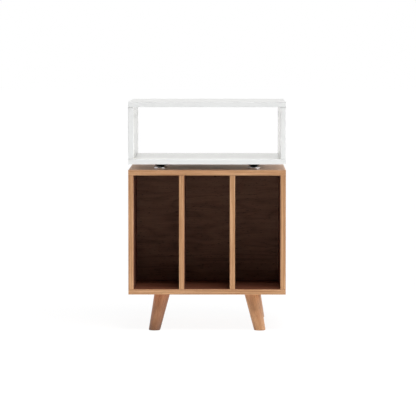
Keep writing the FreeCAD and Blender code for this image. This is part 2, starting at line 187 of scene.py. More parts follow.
# The share of the surroundings' mean level that reaches the open floor, as an estimate.
sky_on_floor = 0.60
floor_level = sky_on_floor * (sky_in_front + sky_behind) / 2
for _, towards, _, level in soft_boxes:
    floor_level += level * Vector(towards).normalized().z
print("light level on the open floor without the wash:", round(floor_level, 3))

# %% [markdown]
# The sweep itself is a wide sheet of white paper that curves up behind the object. The curve
# could be modelled, but a flat square is enough, because the surroundings are white behind it.
# It reaches far beyond the view, so that no edge of it shows, also in the chrome feet.

# %% Floor
floor_reach = 40.0

sheet = bmesh.new()
bmesh.ops.create_grid(sheet, x_segments=1, y_segments=1, size=floor_reach)
floor_mesh = bpy.data.meshes.new("studio_floor")
sheet.to_mesh(floor_mesh)
sheet.free()
floor = bpy.data.objects.new("studio_floor", floor_mesh)
bpy.context.scene.collection.objects.link(floor)
print("the floor reaches metres from the stand:", floor_reach)

# %% [markdown]
# The paper has two tasks. To the stand it is white and throws light up under the boards. To the
# camera and in metal or glass it should come out pure white where nothing shades it, and still
# show a faint shadow. One white paper can't do both, because its shadow would be too strong. Light
# Path tells the two apart: seen, it is a grey paper with just enough glow of its own.

# %% White sweep paper
bounce_share = 0.96
shadow_share = 0.11
white_margin = 0.03

# Dull all over, which gives the eye an even white without any reflection.
paper, paper_shader, paper_position = start_finish("white_sweep_paper")
paper_shader.inputs["Roughness"].default_value = 1.0
paper_shader.inputs["Specular IOR Level"].default_value = 0.0
paper_shader.inputs["Emission Color"].default_value = (1, 1, 1, 1)
paper_path = add(paper, "LightPath")
paper_plain = add(paper, "Math", {"operation": "MAXIMUM"},
                  {0: paper_path.outputs["Is Camera Ray"],
                   1: paper_path.outputs["Is Transmission Ray"]})
paper_seen = add(paper, "Math", {"operation": "MAXIMUM"},
                 {0: paper_plain.outputs[0], 1: paper_path.outputs["Is Glossy Ray"]})
paper_tone = add(paper, "Mix", {"data_type": "RGBA", 6: (bounce_share,) * 3 + (1,),
                                7: (shadow_share,) * 3 + (1,)}, {0: paper_seen.outputs[0]})
paper.node_tree.links.new(paper_tone.outputs[2], paper_shader.inputs["Base Color"])
floor_mesh.materials.append(paper)
print("share of light that the seen paper gives back:", shadow_share)

# %% [markdown]
# What the chrome feet mirror is the floor far in front of the stand, which lies in the dark room.
# So in mirrors the paper darkens in that direction, from one and a half metres outwards. A black
# card in front of the camera would do the same, as photographers of metal know, but it would also
# shade the stand.

# %% The dark room in the mirrored floor
sweep_reach = (1.5, 2.5)

paper_direction = add(paper, "VectorMath", {"operation": "NORMALIZE"}, {0: paper_position})
paper_distance = add(paper, "VectorMath", {"operation": "LENGTH"}, {0: paper_position})
paper_to_room = add(paper, "VectorMath", {"operation": "DOT_PRODUCT", 1: room_direction},
                    {0: paper_direction.outputs[0]})
paper_in_room = add(paper, "MapRange",
                    {"interpolation_type": "SMOOTHSTEP", "From Min": room_edges[0],
                     "From Max": room_edges[1], "To Min": 1.0, "To Max": room_level},
                    {"Value": paper_to_room.outputs["Value"]})
paper_mirrored = add(paper, "MapRange",
                     {"interpolation_type": "SMOOTHSTEP", "From Min": sweep_reach[0],
                      "From Max": sweep_reach[1], "To Min": 1.0},
                     {"Value": paper_distance.outputs["Value"],
                      "To Max": paper_in_room.outputs["Result"]})
paper_visible = add(paper, "Mix", {"data_type": "FLOAT", 2: 1.0},
                    {0: paper_path.outputs["Is Glossy Ray"],
                     3: paper_mirrored.outputs["Result"]})
print("the mirrored sweep ends at metres:", sweep_reach)

# %% [markdown]
# The glow of the seen paper makes up for what a grey paper lacks to white in the open light, and
# a little more, so that the open floor comes out pure white. A lighter paper would lack less,
# but its shadow would be darker. Where the stand shades this one, only its grey share is
# missing, and the shadow stays faint.

# %% Glow of the paper
paper_lack = 1 + white_margin - shadow_share * floor_level
paper_white = add(paper, "Math", {"operation": "MULTIPLY", 1: paper_lack},
                  {0: paper_visible.outputs[0]})
paper_glow = add(paper, "Math", {"operation": "MULTIPLY"},
                 {0: paper_seen.outputs[0], 1: paper_white.outputs[0]})
paper.node_tree.links.new(paper_glow.outputs[0], paper_shader.inputs["Emission Strength"])
print("glow of the seen paper:", round(paper_lack, 3))

# %% [markdown]
# The world round the stand follows the levels from above. It could be an image of a studio, but a
# blend along two axes is enough here. To the camera, and through glass, it is plain white, as the
# background of the photograph.

# %% Surroundings
world = bpy.data.worlds.new("studio")
world.use_nodes = True
world.node_tree.nodes.clear()
bpy.context.scene.world = world
world_way = add(world, "TexCoord").outputs["Generated"]
world_axes = add(world, "SeparateXYZ", links={0: world_way})
sky_level = add(world, "MapRange",
                {"interpolation_type": "SMOOTHSTEP", "From Min": sky_edges[0],
                 "From Max": sky_edges[1], "To Min": sky_in_front, "To Max": sky_behind},
                {"Value": world_axes.outputs["Y"]})
sky_height = add(world, "MapRange", {"To Min": 1.0, "To Max": sky_overhead_share},
                 {"Value": world_axes.outputs["Z"]})
sky_shaded = add(world, "Math", {"operation": "MULTIPLY"},
                 {0: sky_level.outputs["Result"], 1: sky_height.outputs["Result"]})
world_to_room = add(world, "VectorMath", {"operation": "DOT_PRODUCT", 1: room_direction},
                    {0: world_way})
mirrored_sky = add(world, "MapRange",
                   {"interpolation_type": "SMOOTHSTEP", "From Min": room_edges[0],
                    "From Max": room_edges[1], "To Min": 1.0, "To Max": room_level},
                   {"Value": world_to_room.outputs["Value"]})
print("surroundings from front to back:", sky_in_front, "to", sky_behind)

# %% [markdown]
# Light Path now chooses between the three: the blend for plain light, the dark room for mirrors,
# and white for the camera and for glass. White cards behind the stand could give the background
# too, but they would throw more light on it, and would stand in the way of other views.

# %% Which surroundings are seen
world_path = add(world, "LightPath")
sky_or_mirror = add(world, "Mix", {"data_type": "FLOAT"},
                    {0: world_path.outputs["Is Glossy Ray"], 2: sky_shaded.outputs[0],
                     3: mirrored_sky.outputs["Result"]})
seen_plain = add(world, "Math", {"operation": "MAXIMUM"},
                 {0: world_path.outputs["Is Camera Ray"],
                  1: world_path.outputs["Is Transmission Ray"]})
sky_strength = add(world, "Mix", {"data_type": "FLOAT", 3: 1.0},
                   {0: seen_plain.outputs[0], 2: sky_or_mirror.outputs[0]})
sky = add(world, "Background", {"Color": (1, 1, 1, 1)}, {"Strength": sky_strength.outputs[0]})
add(world, "OutputWorld", links={"Surface": sky.outputs[0]})
print("nodes in the surroundings:", len(world.node_tree.nodes))

# %% [markdown]
# All wood here is drawn from noise. It could be an image, but noise has no seams, and its scale
# comes from real sizes in millimetres. Timber looks like timber because everything in it is much
# longer along the grain than across it, so one helper makes a noise that is stretched that way.

# %% Stretched noise


def stretched_noise(material, along, length_mm, width_mm, detail, distortion=0.0):
    """Noise whose spots are longer along the grain, which is X, than across it."""
    scale = (1 / (length_mm * MM), 1 / (width_mm * MM), 1 / (width_mm * MM))
    stretched = add(material, "VectorMath", {"operation": "MULTIPLY", 1: scale}, {0: along})
    settings = {"Scale": 1.0, "Detail": detail, "Roughness": 0.55, "Distortion": distortion}
    return add(material, "TexNoise", settings, {"Vector": stretched.outputs[0]}).outputs["Fac"]


print("a fibre 25 mm long has this scale along the grain:", round(1 / (25.0 * MM)))

# %% [markdown]
# Flat-cut timber shows arches where the saw meets the yearly rings at a shallow angle. Contour
# lines of a slowly changing field look just like them. Between the arches lie fine streaks, finer
# fibres, and broad patches that are a shade lighter or darker. The four could be separate layers
# of colour, but a wood changes in tone far more than in hue, so they are added up to one tone.

# %% Tone of a wood
figure_stretch = 6
streak_stretch = 60
figure_distortion = 0.6
fibre_mm = (25.0, 0.9)
patch_mm = (260.0, 45.0)


def wood_tone(material, along, wood):
    """The tone of a wood, and the height of its fibres."""
    field = stretched_noise(material, along, wood["figure_mm"] * figure_stretch,
                            wood["figure_mm"], detail=2.0, distortion=figure_distortion)
    contours = add(material, "Math", {"operation": "MULTIPLY", 1: wood["rings"]}, {0: field})
    fold = add(material, "Math", {"operation": "PINGPONG", 1: 1.0}, {0: contours.outputs[0]})
    ring = add(material, "Math", {"operation": "POWER", 1: wood["ring_edge"]},
               {0: fold.outputs[0]}).outputs[0]
    streak = stretched_noise(material, along, wood["streak_mm"] * streak_stretch,
                             wood["streak_mm"], detail=3.0)
    fibre = stretched_noise(material, along, *fibre_mm, detail=2.0)
    patch = stretched_noise(material, along, *patch_mm, detail=1.0)
    tone = None
    for layer, weight in ((ring, wood["ring_share"]), (streak, wood["streak_share"]),
                          (fibre, wood["fibre_share"]), (patch, wood["patch_share"])):
        # Each layer swings about a half by its weight, and later ones only add their swing.
        swing = add(material, "Math", {"operation": "MULTIPLY_ADD", 1: weight,
                                       2: 0.5 - 0.5 * weight}, {0: layer})
        if tone is not None:
            shift = add(material, "Math", {"operation": "ADD", 1: -0.5}, {0: swing.outputs[0]})
            swing = add(material, "Math", {"operation": "ADD"}, {0: tone, 1: shift.outputs[0]})
        tone = swing.outputs[0]
    return tone, fibre


print("arches are longer than wide by:", figure_stretch, "streaks by:", streak_stretch)

# %% [markdown]
# Oak and walnut have open pores, short dark dashes that the lacquer doesn't fill. They could be
# modelled, but at under a millimetre wide they are only seen as flecks. So the peaks of one more
# stretched noise darken the colour there, and the same mask dents and dulls the lacquer later.

# %% Colour and pores of a wood
pore_stretch = 9
pore_edge = 0.08


def wood_figure(material, along, wood):
    """Colour, pore mask and fibre height of a wood with its grain along X."""
    tone, fibre = wood_tone(material, along, wood)
    timber = add(material, "Mix", {"data_type": "RGBA", "clamp_factor": True,
                                   6: linear(wood["dark"]), 7: linear(wood["light"])}, {0: tone})
    speck = stretched_noise(material, along, wood["pore_mm"] * pore_stretch, wood["pore_mm"],
                            detail=1.0)
    pores = add(material, "MapRange",
                {"interpolation_type": "SMOOTHSTEP", "From Min": wood["pore_from"],
                 "From Max": wood["pore_from"] + pore_edge}, {"Value": speck}).outputs["Result"]
    colour = add(material, "Mix", {"data_type": "RGBA", 7: linear(wood["pore"])},
                 {0: pores, 6: timber.outputs[2]})
    return colour.outputs[2], pores, fibre


print("pores are longer than wide by:", pore_stretch)

# %% [markdown]
# The cabinet's boards carry a light oak-like sheet of veneer outside, and a dark walnut sheet on
# every face that looks into the bays. The walnut is given in two tones: darker on the level
# boards, as painted shade on the floors of the bays, and paler on the uprights, as painted light
# on their walls. Each wood is a small table of colours and sizes. Separate functions for each wood
# would hide what differs between them, and a table shows it at a glance.

# %% Woods of the boards
# Figure, streak and pore sizes are widths across the grain in mm. Rings is how often the tone
# rises or falls over the whole range of the noise, and ring_edge sharpens that. A share is the
# weight of a layer in the tone, and pore_from leaves only the highest peaks as pores.
OAK = {"dark": "a8754c", "light": "d9aa7f", "pore": "8a5a3a",
       "figure_mm": 55.0, "rings": 9.0, "ring_share": 0.30, "ring_edge": 1.0,
       "streak_mm": 2.6, "streak_share": 1.3, "fibre_share": 0.7, "patch_share": 0.5,
       "pore_mm": 0.8, "pore_from": 0.70}
# Painted shade: this walnut is darker than the uprights', for the floors of the bays that the
# lamps light more.
WALNUT_PAINTED_DARKER = {"dark": "48251a", "light": "844f38", "pore": "2a1712",
          "figure_mm": 48.0, "rings": 9.0, "ring_share": 0.25, "ring_edge": 1.0,
          "streak_mm": 2.4, "streak_share": 1.1, "fibre_share": 0.6, "patch_share": 0.8,
          "pore_mm": 1.0, "pore_from": 0.67}
OAK_SHEET = dict(OAK, dark="ae7b50", light="e0ac80")
# Painted light: the uprights' walnut is paler, for the bay walls that get less light.
WALNUT_PAINTED_PALER = dict(WALNUT_PAINTED_DARKER, dark="6c4636", light="b98672", patch_share=0.3)
print("width of the arches in mm, oak and walnut:", OAK["figure_mm"], WALNUT_PAINTED_DARKER["figure_mm"])

# %% [markdown]
# A cabinetmaker lets the grain run along the length of each board: across the cabinet on level
# boards, and up and down on uprights. The recipe knows only grain along X. The figure could be
# drawn three times, but a Mapping node turns the position instead. It also shifts it, so that
# each kind of piece shows another stretch of timber.

# %% Direction of the grain


def grain_position(material, position, direction, shift):
    """The position turned so that the grain runs along X, and shifted within the figure."""
    turn = {"x": (0, 0, 0), "z": (0, math.pi / 2, 0), "y": (0, 0, -math.pi / 2)}[direction]
    mapping = add(material, "Mapping", {"Location": shift, "Rotation": turn},
                  {"Vector": position})
    return mapping.outputs[0]


print("an upright's grain is turned by degrees:", round(math.degrees(math.pi / 2)))

# %% [markdown]
# One board has oak on one face and walnut on the other. The mesh could be cut into two slots, but
# it belongs to the frame and isn't changed. So the walnut begins where a position falls inside
# the box that the inner faces enclose, with a hair's breadth to spare.

# %% Which faces look into the bays
inner_low, inner_high = (corner.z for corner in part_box("cabinet_left_side"))
inner_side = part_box("cabinet_right_side")[0].x
outer_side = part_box("cabinet_right_side")[1].x
hair = 0.05 * MM


def inside_mask(material, position):
    """One on the faces that look into the cabinet, and zero elsewhere."""
    axes = add(material, "SeparateXYZ", links={0: position})
    across = add(material, "Math", {"operation": "ABSOLUTE"}, {0: axes.outputs["X"]})
    within = add(material, "Math", {"operation": "LESS_THAN", 1: inner_side + hair},
                 {0: across.outputs[0]})
    above = add(material, "Math", {"operation": "GREATER_THAN", 1: inner_low - hair},
                {0: axes.outputs["Z"]})
    below = add(material, "Math", {"operation": "LESS_THAN", 1: inner_high + hair},
                {0: axes.outputs["Z"]})
    between = add(material, "Math", {"operation": "MULTIPLY"},
                  {0: above.outputs[0], 1: below.outputs[0]})
    return add(material, "Math", {"operation": "MULTIPLY"},
               {0: within.outputs[0], 1: between.outputs[0]}).outputs[0]


print("inner faces enclose mm:", round(2 * inner_side / MM), "by",
      round((inner_high - inner_low) / MM))

# %% [markdown]
# Furniture veneer is sealed with a satin lacquer. Its gloss is even, but it sinks into the open
# pores and follows the fibres a little. A second, clear layer could carry the gloss, but over
# wood a lower roughness of the one surface looks the same. Two bumps give the relief: fibres a
# twentieth of a millimetre high and pores a tenth deep.

# %% Lacquer
fibre_height = 0.05 * MM
pore_depth = 0.1 * MM
pore_dulling = 0.25


def lacquer(material, shader, figure, roughness, gloss):
    """A satin lacquer: an even sheen that the open pores break."""
    colour, pores, fibre = figure
    shader.inputs["Specular IOR Level"].default_value = gloss
    material.node_tree.links.new(colour, shader.inputs["Base Color"])
    if isinstance(roughness, float):
        sheen = add(material, "MapRange", {"To Min": roughness,
                                           "To Max": roughness + pore_dulling}, {"Value": pores})
        roughness = sheen.outputs["Result"]
    material.node_tree.links.new(roughness, shader.inputs["Roughness"])
    grain = add(material, "Bump", {"Strength": 0.15, "Distance": fibre_height},
                {"Height": fibre})
    bump = add(material, "Bump", {"Strength": 0.3, "Distance": pore_depth, "invert": True},
               {"Height": pores, "Normal": grain.outputs[0]})
    material.node_tree.links.new(bump.outputs[0], shader.inputs["Normal"])


print("depth of the pores in mm:", pore_depth / MM)

# %% [markdown]
# Inside, the boards are a little duller than outside. The end faces of the top and bottom board
# are banded with a strip whose grain runs from front to back, so there the position is turned
# once more. The bands could be pieces of their own, but at a millimetre or less of thickness
# only their grain shows, so their place on the board is enough.

# %% Roughness and edge bands of a board
outer_roughness = 0.36
duller_inside = 0.12
duller_pores = 0.2


def board_roughness(material, inside, pores):
    """The roughness of a board: smooth outside, duller inside and dull in the pores."""
    dull = add(material, "Math", {"operation": "MULTIPLY_ADD", 1: duller_inside,
                                  2: outer_roughness}, {0: inside})
    return add(material, "Math", {"operation": "MULTIPLY_ADD", 1: duller_pores},
               {0: pores, 2: dull.outputs[0]}).outputs[0]


def banded_position(material, position, along, shift):
    """The grain's position, turned to run from front to back on the end faces."""
    axes = add(material, "SeparateXYZ", links={0: position})
    across = add(material, "Math", {"operation": "ABSOLUTE"}, {0: axes.outputs["X"]})
    at_end = add(material, "Math", {"operation": "GREATER_THAN", 1: outer_side - hair},
                 {0: across.outputs[0]})
    banded = grain_position(material, position, "y", shift)
    return add(material, "Mix", {"data_type": "VECTOR"},
               {0: at_end.outputs[0], 4: along, 5: banded}).outputs[1]


print("roughness outside and inside:", outer_roughness, outer_roughness + duller_inside)

# %% [markdown]
# The cabinet's top is oiled as well. Seen nearly edge-on, its raised fibres catch the light from
# behind, and it turns to a pale, greyish brown. More gloss would mirror the white room instead,
# and look wet. The shader's sheen is made for fine fibres, so it gives this veil at a grazing
# view and leaves the board as it is from above.

# %% Veneered board
veil_roughness = 0.35
veil_tint = "dcc2ae"
board_gloss = 0.33


def veneered_board(name, direction, shift, walnut_sheet, veil):
    """Oak outside and walnut inside, both with their grain in one direction."""
    material, shader, position = start_finish(name)
    along = grain_position(material, position, direction, shift)
    if direction == "x":
        along = banded_position(material, position, along, shift)
    oak, oak_pores, oak_fibre = wood_figure(material, along, OAK_SHEET)
    walnut, walnut_pores, walnut_fibre = wood_figure(material, along, walnut_sheet)
    inside = inside_mask(material, position)
    colour = add(material, "Mix", {"data_type": "RGBA"}, {0: inside, 6: oak, 7: walnut})
    pores = add(material, "Mix", {"data_type": "FLOAT"},
                {0: inside, 2: oak_pores, 3: walnut_pores})
    fibre = add(material, "Mix", {"data_type": "FLOAT"},
                {0: inside, 2: oak_fibre, 3: walnut_fibre})
    roughness = board_roughness(material, inside, pores.outputs[0])
    figure = (colour.outputs[2], pores.outputs[0], fibre.outputs[0])
    lacquer(material, shader, figure, roughness, board_gloss)
    shader.inputs["Sheen Weight"].default_value = veil
    shader.inputs["Sheen Roughness"].default_value = veil_roughness
    shader.inputs["Sheen Tint"].default_value = linear(veil_tint)
    return material


print("colour of the veil as linear light:", [round(part, 2) for part in linear(veil_tint)])

# %% [markdown]
# Each mesh of the frame comes with slots for its materials. A finish could be appended to the
# mesh as a new slot, but its faces point to the slots that it has. So the finish goes into
# those, and the mesh stays as it is.

# %% Dressing a piece


def dress(node_names, material):
    """Gives a material to every slot of the named pieces."""
    for name in node_names:
        for slot in nodes[name].material_slots:
            slot.material = material
    print(material.name, "on pieces:", len(node_names))


print("slots to dress:", sum(len(node.material_slots) for node in nodes.values()))

# %% [markdown]
# Six boards make the cabinet. The top and bottom take the same shift and still differ, because
# they lie at different heights in the figure. All six could share one finish with more masks,
# but three finishes are easier to read.

# %% Boards of the cabinet
level_shift = (0.31, 0.12, 0.07)
upright_shift = (0.83, 0.45, 0.29)
# Satin oak with the oil's veil: warm from above, and pale brown edge-on under the white box.
dress(["cabinet_top"],
      veneered_board("oak_veneer_oiled_top", "x", level_shift, WALNUT_PAINTED_DARKER, veil=0.92))
# The same sheet without the veil, so that the floor of the bays stays dark. Its walnut is painted
# darker, as painted shade on the floors of the bays.
dress(["cabinet_bottom"],
      veneered_board("oak_and_walnut_veneer_level", "x", level_shift, WALNUT_PAINTED_DARKER, veil=0.0))
# Satin oak outside, and inside a walnut painted paler, as painted light on the bay walls, so that
# it still shows its streaks in the dark bays.
dress(["cabinet_left_side", "cabinet_right_side", "left_divider", "right_divider"],
      veneered_board("oak_and_walnut_veneer_upright", "z", upright_shift, WALNUT_PAINTED_PALER, veil=0.0))

# %% [markdown]
# The back panel is one sheet of walnut across all three bays. Its grain runs from side to side,
# so the wavy figure carries on behind the dividers. Three separate panels would break it there.
# In the dark bays only a strong figure shows, so its arches are sharper than the boards', and the
# panel is paler and duller, because it is only oiled.

# %% Walnut back panel
PANEL_WALNUT = dict(WALNUT_PAINTED_DARKER, dark="664434", light="9f765f", pore="402a22",
                    figure_mm=70.0, rings=15.0, ring_share=0.55, ring_edge=0.35,
                    streak_share=0.6, fibre_share=0.8, patch_share=0.5,
                    pore_mm=1.5, pore_from=0.66)
panel_shift = (1.7, 0.9, 0.4)

# Dull oiled walnut: a soft depth without reflections, and arches that can still be read.
panel_walnut, panel_shader, panel_position = start_finish("walnut_veneer_panel")
panel_along = grain_position(panel_walnut, panel_position, "x", panel_shift)
lacquer(panel_walnut, panel_shader, wood_figure(panel_walnut, panel_along, PANEL_WALNUT),
        roughness=0.6, gloss=0.2)
dress(["back_panel"], panel_walnut)

# %% [markdown]
# The front edges carry thin strips of solid oak, the lippings, which hide the core of the boards.
# Cut from solid timber, they show stripes along their length, about three millimetres apart, and
# no arches. That is as fine as the photograph shows them, and finer stripes would only shimmer.

# %% Oak lippings
LIPPING_OAK = dict(OAK, streak_mm=3.4, streak_share=2.6, ring_share=0.0, fibre_share=0.9,
                   patch_share=0.2)


def oak_lipping(name, direction, shift):
    """Solid oak: warm stripes along the strip, with a slightly brighter gloss than the faces."""
    material, shader, position = start_finish(name)
    along = grain_position(material, position, direction, shift)
    lacquer(material, shader, wood_figure(material, along, LIPPING_OAK),
            roughness=0.38, gloss=0.4)
    return material


dress(["top_lipping", "bottom_lipping"],
      oak_lipping("oak_lipping_level", "x", (0.2, 0.5, 0.9)))
dress(["left_side_lipping", "right_side_lipping", "left_divider_lipping",
       "right_divider_lipping"], oak_lipping("oak_lipping_upright", "z", (0.6, 0.1, 0.3)))

# %% [markdown]
# Each leg is turned from one piece, so its grain follows the splayed axis. The position could be
# turned by four different angles, but it is simpler to take the splay out of it: going down,
# every leg leans outwards by the same share of the height, so that share is added back. The
# signs of X and Y then move each leg to another stretch of timber.

# %% Grain of the legs
leg_splay = 0.208
timber_step = 1.37

turned_leg, leg_shader, leg_position = start_finish("turned_oak_leg")
leg_axes = add(turned_leg, "SeparateXYZ", links={0: leg_position})
lean = add(turned_leg, "Math", {"operation": "MULTIPLY", 1: leg_splay}, {0: leg_axes.outputs["Z"]})
leg_across = []
leg_signs = []
for axis in ("X", "Y"):
    size = add(turned_leg, "Math", {"operation": "ABSOLUTE"}, {0: leg_axes.outputs[axis]})
    upright = add(turned_leg, "Math", {"operation": "ADD"},
                  {0: size.outputs[0], 1: lean.outputs[0]})
    sign = add(turned_leg, "Math", {"operation": "SIGN"}, {0: leg_axes.outputs[axis]})
    leg_across.append(upright.outputs[0])
    leg_signs.append(sign.outputs[0])
other_timber = add(turned_leg, "Math", {"operation": "MULTIPLY_ADD", 1: 2.0},
                   {0: leg_signs[0], 2: leg_signs[1]})
leg_along = add(turned_leg, "Math", {"operation": "MULTIPLY_ADD", 1: timber_step},
                {0: other_timber.outputs[0], 2: leg_axes.outputs["Z"]})
leg_grain = add(turned_leg, "CombineXYZ",
                links={"X": leg_along.outputs[0], "Y": leg_across[0], "Z": leg_across[1]})
print("splay of the legs in degrees:", round(math.degrees(math.atan(leg_splay)), 1))

# %% [markdown]
# The left leg is painted darker towards its foot and the right one lighter all along, with a
# slight
# tint for each side: painted shade and painted light for how the lamps fall on the two legs. Two
# more materials could give this, but a factor that changes from foot to top and a slight tint for
# each side keep the four legs in one finish.

# %% Painted light and shade on the legs
leg_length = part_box("leg_front_left")[1].z
# Painted shade and light: the left leg is darkened towards its foot, the right leg lightened, with
# a tint for each side.
painted_light_and_shade_at_foot = {"left": 0.44, "right": 1.40}
painted_light_and_shade_at_top = {"left": 1.34, "right": 1.74}
painted_tint_left = (1.0, 0.98, 0.98)
painted_tint_right = (0.90, 1.03, 1.03)

foot_painted_light = add(turned_leg, "MapRange", {"From Min": -1.0, "To Min": painted_light_and_shade_at_foot["left"],
                                         "To Max": painted_light_and_shade_at_foot["right"]},
                {"Value": leg_signs[0]})
top_painted_light = add(turned_leg, "MapRange", {"From Min": -1.0, "To Min": painted_light_and_shade_at_top["left"],
                                        "To Max": painted_light_and_shade_at_top["right"]},
               {"Value": leg_signs[0]})
leg_painted_light = add(turned_leg, "MapRange", {"From Max": leg_length},
                 {"Value": leg_axes.outputs["Z"], "To Min": foot_painted_light.outputs["Result"],
                  "To Max": top_painted_light.outputs["Result"]})
# For vectors, Map Range takes the value in 6, its range in 7 and 8, and the results in 9 and 10.
leg_painted_tint = add(turned_leg, "MapRange", {"data_type": "FLOAT_VECTOR", 7: (-1,) * 3, 8: (1,) * 3,
                                          9: painted_tint_left, 10: painted_tint_right}, {6: leg_signs[0]})
painted_light_on_legs = add(turned_leg, "VectorMath", {"operation": "SCALE"},
            {0: leg_painted_tint.outputs[1], "Scale": leg_painted_light.outputs["Result"]})
print("length of the legs in mm:", round(leg_length / MM))

# %% [markdown]
# In the photograph the legs are a browner oak than the boards, as solid timber often is, because
# it takes up more oil than a thin sheet on glue. They could take the boards' wood with a darker
# tint over it, but a wood of their own keeps their pores and streaks right too.

# %% Turned legs
LEG_OAK = dict(OAK, dark="905c3e", light="c8946e", pore="5f3826", streak_mm=2.8,
               streak_share=1.2, patch_share=0.6, pore_from=0.66)

# Satin turned oak: a soft highlight runs down the round leg, broken by dark pores.
leg_colour, leg_pores, leg_fibre = wood_figure(turned_leg, leg_grain.outputs[0], LEG_OAK)
# The legs' wood colour takes the painted shade and light here.
leg_colour_with_painted_light = add(turned_leg, "VectorMath", {"operation": "MULTIPLY"},
                   {0: leg_colour, 1: painted_light_on_legs.outputs[0]})
lacquer(turned_leg, leg_shader, (leg_colour_with_painted_light.outputs[0], leg_pores, leg_fibre),
        roughness=0.38, gloss=0.4)
dress(["leg_front_left", "leg_front_right", "leg_rear_left", "leg_rear_right"], turned_leg)

# %% [markdown]
# The white box is melamine-faced board: paper soaked in resin and pressed on, which gives a hard
# satin with a very fine orange-peel. A plain white would do from far away, but up close it looks
# like nothing at all. A faint tint in broad patches and the peel as a bump of six thousandths of
# a millimetre make it a surface.

# %% White finish
tint_mm = 165.0
peel_height = 0.006 * MM


def white_finish(name, colour, roughness, peel_mm):
    """A white surface with a faint tint in patches and an orange-peel."""
    material, shader, position = start_finish(name)
    tint = add(material, "TexNoise", {"Scale": 1 / (tint_mm * MM), "Detail": 2.0},
               {"Vector": position})
    tone = add(material, "Mix", {"data_type": "RGBA", 6: linear(colour[0]),
                                 7: linear(colour[1])}, {0: tint.outputs["Fac"]})
    material.node_tree.links.new(tone.outputs[2], shader.inputs["Base Color"])
    shader.inputs["Roughness"].default_value = roughness
    peel = add(material, "TexNoise", {"Scale": 1 / (peel_mm * MM), "Detail": 1.0},
               {"Vector": position})
    bump = add(material, "Bump", {"Strength": 0.05, "Distance": peel_height},
               {"Height": peel.outputs["Fac"]})
    material.node_tree.links.new(bump.outputs[0], shader.inputs["Normal"])
    return material


print("height of the orange-peel in mm:", peel_height / MM)

# %% [markdown]
# The box has three whites. Its faces are satin. Its top is matt, because a satin top would mirror
# the bright sweep at this flat angle and vanish before the white background. Its front edges
# carry ABS edging, a touch cooler than the boards. One white for all would hide how it is built.

# %% White boards and edging
# Satin melamine: a smooth white with a soft mirror image of what is near.
dress(["riser_bottom", "riser_left_side", "riser_right_side"],
      white_finish("white_melamine_board", ("f2f2ee", "f4f4f1"), roughness=0.20, peel_mm=1.2))
# Matt melamine: an even, paper-like white from every side.
dress(["riser_top"],
      white_finish("matt_white_melamine_top", ("f2f2f0", "f4f4f2"), roughness=0.55, peel_mm=1.2))
# ABS edging: a cooler white line round the opening, with a slightly broader gloss.
dress(["riser_top_lipping", "riser_bottom_lipping", "riser_left_lipping", "riser_right_lipping"],
      white_finish("white_abs_edging", ("f0f1f0", "f2f3f2"), roughness=0.26, peel_mm=1.6))

# %% [markdown]
# Metal has no colour of its own under its reflection: the reflection takes the metal's tint, and
# so Metallic is one. Castings and plated parts are never equally smooth all over. A smudge map
# could show that, but for parts this small a fine noise in the roughness and in a bump is enough.

# %% Metal finish


def metal_finish(name, colour, roughness, grain_mm, grain_height_mm):
    """A metal whose polish and surface vary with a fine grain."""
    material, shader, position = start_finish(name)
    shader.inputs["Base Color"].default_value = linear(colour)
    shader.inputs["Metallic"].default_value = 1.0
    grain = add(material, "TexNoise", {"Scale": 1 / (grain_mm * MM), "Detail": 3.0},
                {"Vector": position})
    spread = add(material, "MapRange", {"To Min": roughness * 0.8, "To Max": roughness * 1.3},
                 {"Value": grain.outputs["Fac"]})
    material.node_tree.links.new(spread.outputs["Result"], shader.inputs["Roughness"])
    bump = add(material, "Bump", {"Strength": 0.3, "Distance": grain_height_mm * MM},
               {"Height": grain.outputs["Fac"]})
    material.node_tree.links.new(bump.outputs[0], shader.inputs["Normal"])
    return material


print("finishes so far:", len(bpy.data.materials))

# %% [markdown]
# Plastic, rubber and paint are the other way round: they have a colour, and over it a colourless
# gloss. A mould leaves a fine texture in them, which breaks that gloss. The metal helper with one
# more switch could serve here too, but two plain helpers are easier to read.

# %% Moulded finish


def moulded_finish(name, colour, roughness, grain_mm, grain_height_mm):
    """A plastic, rubber or paint with the fine texture of its mould."""
    material, shader, position = start_finish(name)
    shader.inputs["Base Color"].default_value = linear(colour)
    grain = add(material, "TexNoise", {"Scale": 1 / (grain_mm * MM), "Detail": 2.0},
                {"Vector": position})
    spread = add(material, "MapRange", {"To Min": roughness * 0.85, "To Max": roughness * 1.15},
                 {"Value": grain.outputs["Fac"]})
    material.node_tree.links.new(spread.outputs["Result"], shader.inputs["Roughness"])
    bump = add(material, "Bump", {"Strength": 0.4, "Distance": grain_height_mm * MM},
               {"Height": grain.outputs["Fac"]})
    material.node_tree.links.new(bump.outputs[0], shader.inputs["Normal"])
    return material


print("finishes so far:", len(bpy.data.materials))

# %% [markdown]
# The levelling feet are what the eye finds in the gap: a chrome base on a rubber pad, a black hub
# on a steel stem, and a black flanged insert in the board above. A grey base would be simpler,
# but real chrome shows the white sweep with dark edges, and that is how it is known as chrome.

# %% Levelling feet
corners = ["front_left", "front_right", "rear_left", "rear_right"]
# Chrome plate: nearly a mirror, white where it faces the sweep and dark where it faces the room.
dress(["foot_" + corner + "_base" for corner in corners],
      metal_finish("chrome_plate", "e6e7e9", roughness=0.06, grain_mm=6.0, grain_height_mm=0.01))
# Moulded nylon: black with a soft, broad gleam along its edge.
dress(["foot_" + corner + "_hub" for corner in corners],
      moulded_finish("black_moulded_nylon", "121213", roughness=0.38, grain_mm=0.5,
                     grain_height_mm=0.03))
# Zinc plate: a bright grey with a blurred reflection.
dress(["foot_" + corner + "_stem" for corner in corners],
      metal_finish("zinc_plated_steel", "b9bcc0", roughness=0.28, grain_mm=0.8,
                   grain_height_mm=0.01))
